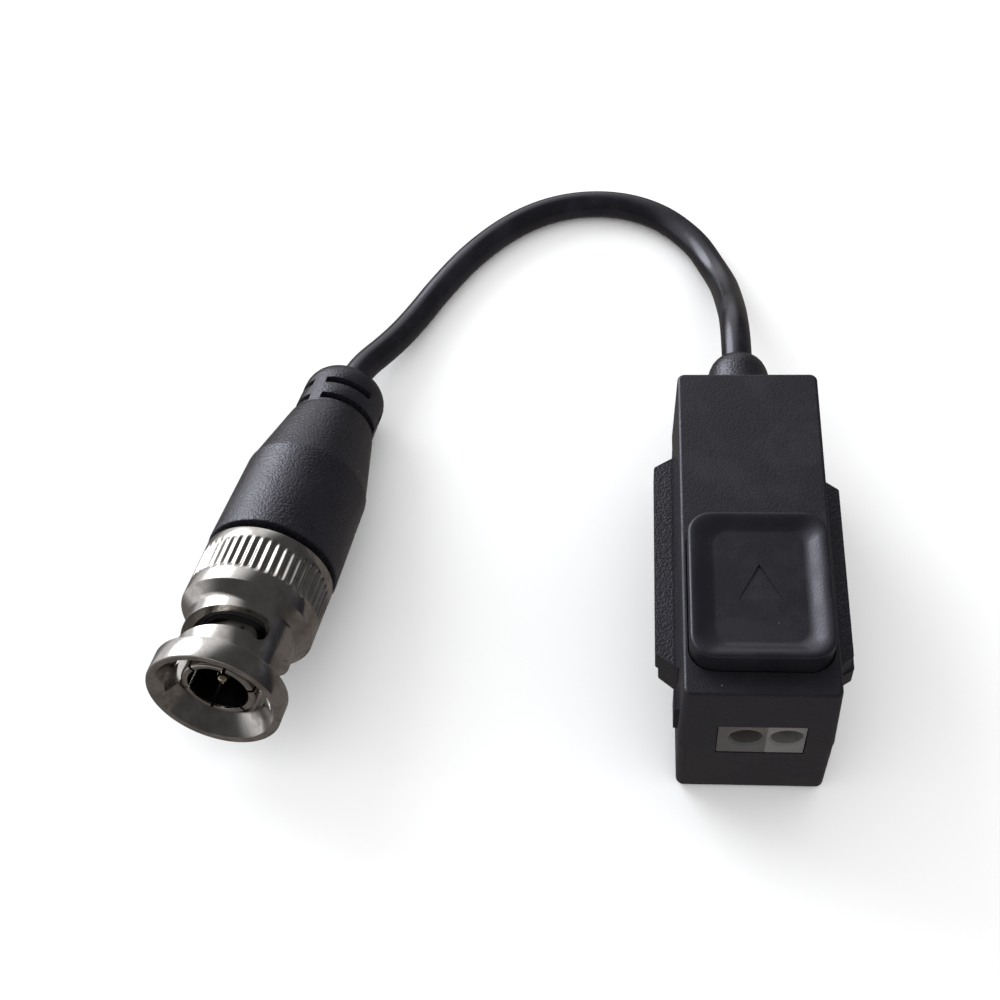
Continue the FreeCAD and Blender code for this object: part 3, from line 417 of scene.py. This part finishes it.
def makePiece(bm, name, place=None):    # an object at the origin, its shape put in place in the mesh
    if place is not None:
        bm.transform(place)
    mesh = bpy.data.meshes.new(name)
    bm.to_mesh(mesh)
    bm.free()
    piece = bpy.data.objects.new(name, mesh)
    scene.collection.objects.link(piece)
    return piece


def applyModifiers(piece, weld=0.0):
    bpy.context.view_layer.update()
    finished = piece.evaluated_get(bpy.context.evaluated_depsgraph_get())
    piece.data, spent = bpy.data.meshes.new_from_object(finished), piece.data
    piece.modifiers.clear()
    bpy.data.meshes.remove(spent)
    if weld:
        bm = bmesh.new()
        bm.from_mesh(piece.data)
        bmesh.ops.remove_doubles(bm, verts=bm.verts[:], dist=weld)
        bmesh.ops.dissolve_degenerate(bm, edges=bm.edges[:], dist=weld)
        bm.to_mesh(piece.data)
        bm.free()


def carve(piece, cutters):    # cuts each cutter out of the piece and removes the cutters
    for cutter in cutters:
        knife = piece.modifiers.new("carve", "BOOLEAN")
        knife.operation = "DIFFERENCE"
        knife.solver = "EXACT"
        knife.object = cutter
    applyModifiers(piece, 2e-6)
    for cutter in cutters:
        bpy.data.objects.remove(cutter)


def dressPiece(piece, node, sharpAngle=32.0):    # smooth shading, finish, body and the node it stands for
    piece.data.shade_smooth()
    piece.data.set_sharp_from_angle(angle=math.radians(sharpAngle))
    even = piece.modifiers.new("even normals", "WEIGHTED_NORMAL")
    even.keep_sharp = True
    even.weight = 60
    applyModifiers(piece)
    piece.data.materials.clear()
    piece.data.materials.append(finishes[slotOf[node]])
    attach(piece, bodyOf[node])
    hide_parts(node)


def cleanFaces(bm, gap=1e-5):
    bmesh.ops.remove_doubles(bm, verts=bm.verts[:], dist=gap)
    bmesh.ops.recalc_face_normals(bm, faces=bm.faces[:])


def spunShape(profile, steps, ring=True):    # profile of (radius, station) turned round the axis
    bm = bmesh.new()
    corners = [bm.verts.new((radius, 0, station)) for radius, station in profile]
    for first, second in zip(corners, corners[1:] + corners[:1] if ring else corners[1:]):
        bm.edges.new((first, second))
    bmesh.ops.spin(bm, geom=bm.verts[:] + bm.edges[:], cent=(0, 0, 0), axis=(0, 0, 1), dvec=(0, 0, 0),
                   angle=2 * math.pi, steps=steps, use_merge=True)
    cleanFaces(bm)
    return bm


def softenEdges(bm, width, angle=30.0, segments=2, chosen=None):
    limit = math.radians(angle)
    edges = [edge for edge in bm.edges if len(edge.link_faces) == 2 and edge.calc_face_angle(0) > limit
             and (chosen is None or chosen(edge))]
    bmesh.ops.bevel(bm, geom=edges, offset=width, offset_type="OFFSET", segments=segments, profile=0.5,
                    affect="EDGES", clamp_overlap=True, material=-1)


def sectorCutter(name, low, high, startAngle, endAngle, rise, steps, place):
    # a block between two corners (radius, station), swept round the axis; rise moves it along the axis
    bm = bmesh.new()
    corners = [(low[0], low[1]), (high[0], low[1]), (high[0], high[1]), (low[0], high[1])]
    outline = [bm.verts.new((radius, 0, station)) for radius, station in corners]
    for first, second in zip(outline, outline[1:] + outline[:1]):
        bm.edges.new((first, second))
    bmesh.ops.transform(bm, matrix=Matrix.Rotation(math.radians(startAngle), 4, "Z"), verts=bm.verts[:])
    geom = bm.verts[:] + bm.edges[:]
    angle = math.radians(endAngle - startAngle) / len(rise)
    for lift in rise:
        swept = bmesh.ops.spin(bm, geom=geom, cent=(0, 0, 0), axis=(0, 0, 1), dvec=(0, 0, lift / steps),
                               angle=angle, steps=steps)
        geom = swept["geom_last"]
    bmesh.ops.holes_fill(bm, edges=[edge for edge in bm.edges if edge.is_boundary], sides=0)
    cleanFaces(bm)
    return makePiece(bm, name, place)


def roundCutter(name, radius, reach, angle, station, place, sides=40):    # a drill along a radius of the axis
    bm = bmesh.new()
    bmesh.ops.create_cone(bm, cap_ends=True, segments=sides, radius1=radius, radius2=radius, depth=reach[1] - reach[0])
    turn = (Matrix.Rotation(math.radians(angle), 4, "Z") @ Matrix.Translation(((reach[0] + reach[1]) / 2, 0, station))
            @ Matrix.Rotation(math.radians(90), 4, "Y"))
    bmesh.ops.transform(bm, matrix=turn, verts=bm.verts[:])
    return makePiece(bm, name, place)


def boxCutter(name, low, high, angle, place):
    bm = bmesh.new()
    bmesh.ops.create_cube(bm, size=1.0)
    size = Matrix.Diagonal((*(b - a for a, b in zip(low, high)), 1.0))
    middle = Matrix.Translation([(a + b) / 2 for a, b in zip(low, high)])
    bmesh.ops.transform(bm, matrix=Matrix.Rotation(math.radians(angle), 4, "Z") @ middle @ size, verts=bm.verts[:])
    return makePiece(bm, name, place)


nutSet = {
    "front": [(6.45, 0.0), (7.25, 0.0), (7.25, 2.5), (5.95, 2.5)],
    "shoulder": [(5.95, 8.75), (5.98, 8.98), (6.07, 9.17), (6.22, 9.34), (7.3, 10.2)],
    "gripRows": [11.7, 11.9, 12.05, 12.25, 12.6, 13.4, 14.8, 15.6, 15.95, 16.15, 16.3, 16.5],
    "rear": [(7.3, 17.5), (6.35, 17.5), (6.35, 14.15), (4.65, 14.15), (4.65, 12.85), (6.35, 12.85),
             (6.3, 9.72), (4.95, 9.6), (4.95, 2.2)],
    "edge": 0.09,
    "flutes": 48,
    "fluteShape": [0.0, 0.12, 0.5, 0.88, 1.0, 0.88, 0.5, 0.12],    # across one flute, 1 is its floor
    "fluteDepth": 0.27,
    "fluteFade": [0.0, 0.25, 0.7, 0.95],    # depth of the first rows at each end
    "gripRadius": 7.3,
    "window": {"width": 2.6, "start": 0.4, "end": 124.3, "station": 5.0, "rise": [0.65, 0.55, 0.36, 0.14],
               "detentDrop": 0.4, "reach": (4.2, 8.6)},
    "entryRadius": 5.75,
}


def couplingNut(values):
    radius = values["gripRadius"]
    profile = values["front"] + values["shoulder"] + [(radius, row) for row in values["gripRows"]] + values["rear"]
    count = len(values["fluteShape"])
    bm = spunShape(profile, values["flutes"] * count)
    softenEdges(bm, values["edge"], angle=40.0)
    rows = values["gripRows"][1:-1]
    fade = values["fluteFade"] + [1.0] * (len(rows) - 2 * len(values["fluteFade"])) + values["fluteFade"][::-1]
    step = 2 * math.pi / (values["flutes"] * count)
    groups = {}
    for vert in bm.verts:
        if abs(math.hypot(vert.co.x, vert.co.y) - radius) > 1e-3:
            continue
        row = min(range(len(rows)), key=lambda index: abs(rows[index] - vert.co.z))
        if abs(rows[row] - vert.co.z) > 1e-3:
            continue
        phase = round(math.atan2(vert.co.y, vert.co.x) / step) % count
        groups.setdefault(round(values["fluteShape"][phase] * fade[row], 4), []).append(vert)
    for depth, verts in groups.items():
        shrink = (radius - depth * values["fluteDepth"]) / radius
        bmesh.ops.scale(bm, vec=(shrink, shrink, 1.0), verts=verts)
    cleanFaces(bm)
    nut = makePiece(bm, "couplingNut", plugMetric)
    window = values["window"]
    half = window["width"] / 2
    inner, outer = window["reach"]
    last = window["station"] + sum(window["rise"])
    cutters = []
    for turn in (0.0, 180.0):
        start, end = window["start"] + turn, window["end"] + turn
        cutters += [
            sectorCutter("camSweep", (inner, window["station"] - half), (outer, window["station"] + half),
                         start, end, window["rise"], 12, plugMetric),
            roundCutter("camEntry", half + 0.011, (inner - 0.1, outer + 0.1), start, window["station"], plugMetric),
            roundCutter("camEnd", half + 0.013, (inner - 0.2, outer + 0.2), end, last, plugMetric),
            roundCutter("camDetent", half + 0.007, (inner - 0.3, outer + 0.3), end,
                        last - window["detentDrop"], plugMetric),
            boxCutter("camGroove", (inner - 0.4, -half, -1.0), (values["entryRadius"], half, window["station"]),
                      start, plugMetric)]
    carve(nut, cutters)
    dressPiece(nut, "coupling_nut")
    return nut


couplingNut(nutSet)
print("coupling nut turned and cut")

contactSet = {
    "profile": [(3.3, 1.45), (3.42, 1.4), (3.8, 1.4), (3.95, 1.48), (4.05, 1.65), (4.05, 10.0), (3.3, 10.0)],
    "slits": 3,          # each saw cut crosses the whole contact
    "slitWidth": 0.35,
    "slitEnd": 7.0,
    "firstSlit": 50.0,
    "steps": 120,
}


def outerContact(values):
    contact = makePiece(spunShape(values["profile"], values["steps"]), "outerContact", plugMetric)
    half = values["slitWidth"] / 2
    carve(contact, [boxCutter("slit", (-6.0, -half, 0.5), (6.0, half, values["slitEnd"]),
                              values["firstSlit"] + index * 180.0 / values["slits"], plugMetric)
                    for index in range(values["slits"])])
    dressPiece(contact, "outer_contact")


outerContact(contactSet)

pinSet = {
    "profile": [(0.0, 2.4), (0.2, 2.42), (0.4, 2.52), (0.56, 2.7), (0.65, 2.92), (0.675, 3.15), (0.675, 8.0),
                (0.9, 8.0), (0.9, 22.0), (0.0, 22.0)],
    "steps": 48,
}
dressPiece(makePiece(spunShape(pinSet["profile"], pinSet["steps"], ring=False), "centerPin", plugMetric), "center_pin")
print("contacts turned")

bootSet = {
    "profile": [(0.0, 18.4), (7.15, 18.4), (7.32, 18.47), (7.4, 18.65), (7.15, 30.35), (7.1, 30.75), (6.95, 31.2),
                (5.25, 39.5), (5.02, 39.95), (4.95, 40.3), (4.95, 45.0)],
    "tip": (3.3, 47.5),
    "tipSteps": 7,
    "steps": 144,
    "slots": {41.0: [(20.6, 60.6), (78.4, 182.4), (200.6, 240.6), (258.4, 362.4)],    # station: start and end angles
              43.7: [(-14.4, 55.6), (76.4, 145.6), (184.4, 235.6), (256.4, 325.6)]},
    "slotWidth": 0.95,
    "slotFloor": 3.6,
    "edge": 0.14,
}


def quarterRound(start, end, steps):    # points of a quarter ellipse that leaves the wall along the axis
    return [(end[0] + (start[0] - end[0]) * math.cos(math.pi / 2 * index / steps),
             start[1] + (end[1] - start[1]) * math.sin(math.pi / 2 * index / steps)) for index in range(1, steps + 1)]


def plugBoot(values):
    profile = values["profile"] + quarterRound(values["profile"][-1], values["tip"], values["tipSteps"])
    boot = makePiece(spunShape(profile + [(0.0, values["tip"][1])], values["steps"], ring=False), "plugBoot",
                     plugMetric)
    half = values["slotWidth"] / 2
    carve(boot, [sectorCutter("reliefSlot", (values["slotFloor"], station - half), (8.0, station + half),
                              start, end, [0.0], 40, plugMetric)
                 for station, spans in values["slots"].items() for start, end in spans])
    softening = boot.modifiers.new("soft edges", "BEVEL")
    softening.width = values["edge"] * millimetre
    softening.segments = 2
    softening.limit_method = "ANGLE"
    softening.angle_limit = math.radians(50)
    applyModifiers(boot, 2e-6)
    dressPiece(boot, "plug_boot", 40.0)


plugBoot(bootSet)
print("boot moulded")

glandSet = {
    "profile": [(0.0, 16.58), (4.6, 16.58), (4.6, 17.78), (3.4, 17.78), (3.4, 19.62), (4.35, 19.62), (4.46, 19.66),
                (4.5, 19.76), (4.5, 20.38), (4.46, 20.48), (4.35, 20.52), (4.08, 20.54), (4.0, 20.64), (3.55, 26.2)],
    "tip": (2.0, 29.3),
    "tipSteps": 8,
    "steps": 96,
    "height": 10.0,
}


def cableGland(values):
    profile = values["profile"] + quarterRound(values["profile"][-1], values["tip"], values["tipSteps"])
    bm = spunShape(profile + [(0.0, values["tip"][1])], values["steps"], ring=False)
    place = metric @ Matrix.Translation((0, 0, values["height"])) @ Matrix.Rotation(math.radians(-90), 4, "X")
    dressPiece(makePiece(bm, "cableGland", place), "cable_gland", 40.0)


cableGland(glandSet)
print("gland moulded")

padSet = {
    "half": (6.85, 8.2),
    "middleY": -8.55,
    "corner": 2.4,
    "bottom": 20.1,
    "top": 23.2,
    "edge": 0.3,             # rounding of the outer rim
    "edgeSteps": 5,
    "rim": 0.08,
    "slope": (2.2, 1.7),     # across and along the pad
    "slopeSteps": 14,
    "dish": 0.7,
    "joinHeight": 20.4,      # the hooks and pushers of the CAD pad run up into the cap
    "arrow": {"apex": -6.1, "foot": -10.1, "halfWidth": 2.1, "depth": 0.22, "footDepth": 0.07},
}


def topFace(bm):
    return max(bm.faces, key=lambda face: (round(face.normal.z, 3), face.calc_area()))


def releasePad(values):
    bm = bmesh.new()
    bmesh.ops.create_grid(bm, x_segments=1, y_segments=1, size=1.0)
    bmesh.ops.scale(bm, vec=(*values["half"], 1.0), verts=bm.verts[:])
    bmesh.ops.bevel(bm, geom=bm.verts[:], offset=values["corner"], offset_type="OFFSET", segments=14, profile=0.5,
                    affect="VERTICES", clamp_overlap=True, material=-1)
    bmesh.ops.translate(bm, vec=(0, values["middleY"], values["bottom"]), verts=bm.verts[:])
    top = bm.faces[:][0]
    raised = bmesh.ops.extrude_face_region(bm, geom=[top])
    top = [item for item in raised["geom"] if isinstance(item, bmesh.types.BMFace)][0]
    bmesh.ops.translate(bm, vec=(0, 0, values["top"] - values["edge"] - values["bottom"]), verts=top.verts[:])
    cleanFaces(bm)
    turns = [math.pi / 2 * index / values["edgeSteps"] for index in range(values["edgeSteps"] + 1)]
    rounding = [(values["edge"] * (math.cos(a) - math.cos(b)), values["edge"] * (math.sin(b) - math.sin(a)))
                for a, b in zip(turns, turns[1:])]
    for thickness, rise in rounding + [(values["rim"], 0.0)]:
        top = topFace(bm)
        bmesh.ops.inset_region(bm, faces=[top], thickness=thickness, depth=0.0, use_even_offset=True,
                               use_boundary=True)
        bmesh.ops.translate(bm, vec=(0, 0, rise), verts=top.verts[:])
    span = [half - values["edge"] - values["rim"] for half in values["half"]]
    steps = [index / values["slopeSteps"] for index in range(values["slopeSteps"] + 1)]
    for before, after in zip(steps, steps[1:]):    # the dish: rings that shrink and sink in a soft S
        top = topFace(bm)
        ring = bmesh.ops.extrude_face_region(bm, geom=[top])
        bmesh.ops.delete(bm, geom=[top], context="FACES_ONLY")
        verts = [item for item in ring["geom"] if isinstance(item, bmesh.types.BMVert)]
        shrink = [(size - slope * after) / (size - slope * before) for size, slope in zip(span, values["slope"])]
        bmesh.ops.scale(bm, vec=(*shrink, 1.0), verts=verts, space=Matrix.Translation((0, -values["middleY"], 0)))
        fall = values["dish"] * 0.5 * (math.cos(math.pi * after) - math.cos(math.pi * before))
        bmesh.ops.translate(bm, vec=(0, 0, fall), verts=verts)
    cleanFaces(bm)
    lower = bmesh.new()
    lower.from_mesh(nodes["release_pad"].data)
    bmesh.ops.transform(lower, matrix=Matrix.Scale(1 / millimetre, 4), verts=lower.verts[:])
    bmesh.ops.remove_doubles(lower, verts=lower.verts[:], dist=1e-4)
    bmesh.ops.bisect_plane(lower, geom=lower.verts[:] + lower.edges[:] + lower.faces[:], dist=1e-4,
                           plane_co=(0, 0, values["bottom"] - 0.02), plane_no=(0, 0, 1), clear_outer=True)
    cuts = [edge for edge in lower.edges if edge.is_boundary]
    tops = bmesh.ops.extrude_edge_only(lower, edges=cuts)["geom"]
    bmesh.ops.translate(lower, vec=(0, 0, values["joinHeight"] - values["bottom"]),
                        verts=[item for item in tops if isinstance(item, bmesh.types.BMVert)])
    bmesh.ops.holes_fill(lower, edges=[edge for edge in lower.edges if edge.is_boundary], sides=0)
    bmesh.ops.recalc_face_normals(lower, faces=lower.faces[:])
    lowerMesh = bpy.data.meshes.new("padHooks")
    lower.to_mesh(lowerMesh)
    lower.free()
    pad = makePiece(bm, "releasePad", metric)
    arrow = values["arrow"]
    cutter = bmesh.new()
    apex = cutter.verts.new((0, arrow["apex"], 0))
    feet = [cutter.verts.new((side * arrow["halfWidth"], arrow["foot"], 0)) for side in (-1, 1)]
    floor = values["top"] - values["dish"]
    face = cutter.faces.new((apex, *feet))
    walls = bmesh.ops.extrude_face_region(cutter, geom=[face])
    upper = [item for item in walls["geom"] if isinstance(item, bmesh.types.BMVert)]
    bmesh.ops.translate(cutter, vec=(0, 0, floor + 1.0), verts=upper)
    lowest = [vert for vert in cutter.verts if vert not in upper]
    for vert in lowest:
        vert.co.z = floor - arrow["depth" if abs(vert.co.x) < 1e-4 else "footDepth"]
    cleanFaces(cutter)
    carve(pad, [makePiece(cutter, "arrowCutter", metric)])
    joined = bmesh.new()
    joined.from_mesh(pad.data)
    lowerMesh.transform(metric)
    joined.from_mesh(lowerMesh)
    joined.to_mesh(pad.data)
    joined.free()
    bpy.data.meshes.remove(lowerMesh)
    dressPiece(pad, "release_pad", 28.0)


releasePad(padSet)
print("release pad shaped")

shellSet = {
    "edge": 0.17,           # rounding of the moulded edges
    "angle": 25.0,
    "nodes": ["upper_shell", "lower_shell"],
}


def softShell(node, values):    # a merged copy of the CAD shell with its sharp edges rounded
    bm = bmesh.new()
    bm.from_mesh(nodes[node].data)
    bmesh.ops.transform(bm, matrix=Matrix.Scale(1 / millimetre, 4), verts=bm.verts[:])
    bmesh.ops.remove_doubles(bm, verts=bm.verts[:], dist=1e-4)
    bmesh.ops.dissolve_limit(bm, angle_limit=math.radians(0.5), use_dissolve_boundaries=False, verts=bm.verts[:],
                             edges=bm.edges[:], delimit=set())
    softenEdges(bm, values["edge"], angle=values["angle"], chosen=lambda edge: edge.calc_length() > values["edge"])
    dressPiece(makePiece(bm, node + "_soft", metric), node, 40.0)


for shellNode in shellSet["nodes"]:
    softShell(shellNode, shellSet)
print("shells softened")

springSet = {    # springs with their joint: axis and anchor at rest, keep is the share left at the limit
    "clamp_spring_left": {"name": "clampSpringLeft", "joint": "pad_press", "axis": (0.0, 0.0, 1.0),
                          "anchor": (-1.05, -10.8, 10.1), "keep": 0.74},
    "clamp_spring_right": {"name": "clampSpringRight", "joint": "pad_press", "axis": (0.0, 0.0, 1.0),
                           "anchor": (2.91, -10.8, 10.1), "keep": 0.74},
    "wave_washer": {"name": "waveWasher", "joint": "nut_float",
                    "axis": tuple(plugPlace.to_3x3() @ Vector((0.0, 0.0, 1.0))),
                    "anchor": tuple(plugMetric @ Vector((0.0, 0.0, 10.85)) / millimetre), "keep": 0.59},
}


def softSpring(node, values):    # a merged copy of the CAD spring
    bm = bmesh.new()
    bm.from_mesh(nodes[node].data)
    cleanFaces(bm, 1e-7)
    spring = makePiece(bm, values["name"])
    dressPiece(spring, node)
    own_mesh(spring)


for springNode, springValues in springSet.items():
    softSpring(springNode, springValues)
print("springs set")

studioSet = {
    "floorColour": (0.94, 0.94, 0.94),
    "floorSize": 6.0,
    "floorMirrored": (0.17, 0.155, 0.145),    # what polished metal sees of the floor
    "floorBright": (0.85, 0.85, 0.88),
    "brightEdge": (-0.072, -0.1),             # the floor left of the plug is lit by the window side
    "lights": [    # place, size, power, aimed at
        ((-0.70, 0.66, 0.44), 0.74, 6.6, (-0.03, 0.0, 0.005)),
    ],
    "lightColour": (0.93, 0.96, 1.0),
    "skyStrength": 1.1,
    "skyMirrored": 0.08,      # the darker room that polished metal sees
    "skyWindow": 1.2,         # the bright side of that room
    "windowSide": (-0.70, 0.62, 0.10),
    "windowEdge": (0.32, 0.8),
}


def addFloor(values):
    bm = bmesh.new()
    bmesh.ops.create_grid(bm, x_segments=1, y_segments=1, size=values["floorSize"])
    floor = makePiece(bm, "studioFloor")
    material = bpy.data.materials.new("studioPaper")
    material.use_nodes = True
    tree = material.node_tree
    shader = tree.nodes["Principled BSDF"]
    shader.inputs["Base Color"].default_value = (*values["floorColour"], 1.0)
    shader.inputs["Roughness"].default_value = 0.9
    rays = tree.nodes.new("ShaderNodeLightPath")
    where = tree.nodes.new("ShaderNodeTexCoord")
    apart = tree.nodes.new("ShaderNodeSeparateXYZ")
    tree.links.new(where.outputs["Object"], apart.inputs["Vector"])
    # painted reflection: glossy rays see this glowing floor colour instead of the lit paper, dim under the plug and
    # bright to its left
    nearPlug = rangeNode(tree, apart.outputs["X"], *values["brightEdge"])
    seen = tree.nodes.new("ShaderNodeEmission")
    tree.links.new(blendColour(tree, nearPlug, values["floorMirrored"], values["floorBright"]), seen.inputs["Color"])
    mixed = tree.nodes.new("ShaderNodeMixShader")
    tree.links.new(rays.outputs["Is Glossy Ray"], mixed.inputs["Fac"])
    tree.links.new(shader.outputs["BSDF"], mixed.inputs[1])
    tree.links.new(seen.outputs["Emission"], mixed.inputs[2])
    tree.links.new(mixed.outputs["Shader"], tree.nodes["Material Output"].inputs["Surface"])
    floor.data.materials.append(material)


def addLights(values):
    for index, (place, size, power, aim) in enumerate(values["lights"]):
        data = bpy.data.lights.new("softBox%d" % index, "AREA")
        data.shape = "DISK"
        data.size = size
        data.energy = power
        data.color = values["lightColour"]
        light = bpy.data.objects.new("softBox%d" % index, data)
        scene.collection.objects.link(light)
        light.location = place
        light.rotation_mode = "QUATERNION"
        light.rotation_quaternion = (Vector(aim) - Vector(place)).to_track_quat("-Z", "Y")


def addSky(values):
    world = bpy.data.worlds.new("studioSky")
    world.use_nodes = True
    tree = world.node_tree
    plain = tree.nodes["Background"]
    plain.inputs["Color"].default_value = (1.0, 1.0, 1.0, 1.0)
    plain.inputs["Strength"].default_value = values["skyStrength"]
    where = tree.nodes.new("ShaderNodeTexCoord")
    towards = tree.nodes.new("ShaderNodeVectorMath")
    towards.operation = "DOT_PRODUCT"
    tree.links.new(where.outputs["Generated"], towards.inputs[0])
    towards.inputs[1].default_value = Vector(values["windowSide"]).normalized()
    glow = rangeNode(tree, towards.outputs["Value"], *values["windowEdge"], values["skyMirrored"],
                     values["skyWindow"])
    room = tree.nodes.new("ShaderNodeBackground")
    room.inputs["Color"].default_value = (1.0, 1.0, 1.02, 1.0)
    tree.links.new(glow, room.inputs["Strength"])
    rays = tree.nodes.new("ShaderNodeLightPath")
    mixed = tree.nodes.new("ShaderNodeMixShader")
    tree.links.new(rays.outputs["Is Glossy Ray"], mixed.inputs["Fac"])
    tree.links.new(plain.outputs["Background"], mixed.inputs[1])
    tree.links.new(room.outputs["Background"], mixed.inputs[2])
    tree.links.new(mixed.outputs["Shader"], tree.nodes["World Output"].inputs["Surface"])
    world.cycles.sampling_method = "NONE"
    scene.world = world


addFloor(studioSet)
addLights(studioSet)
addSky(studioSet)
scene.view_settings.view_transform = "Standard"
print("studio lit")
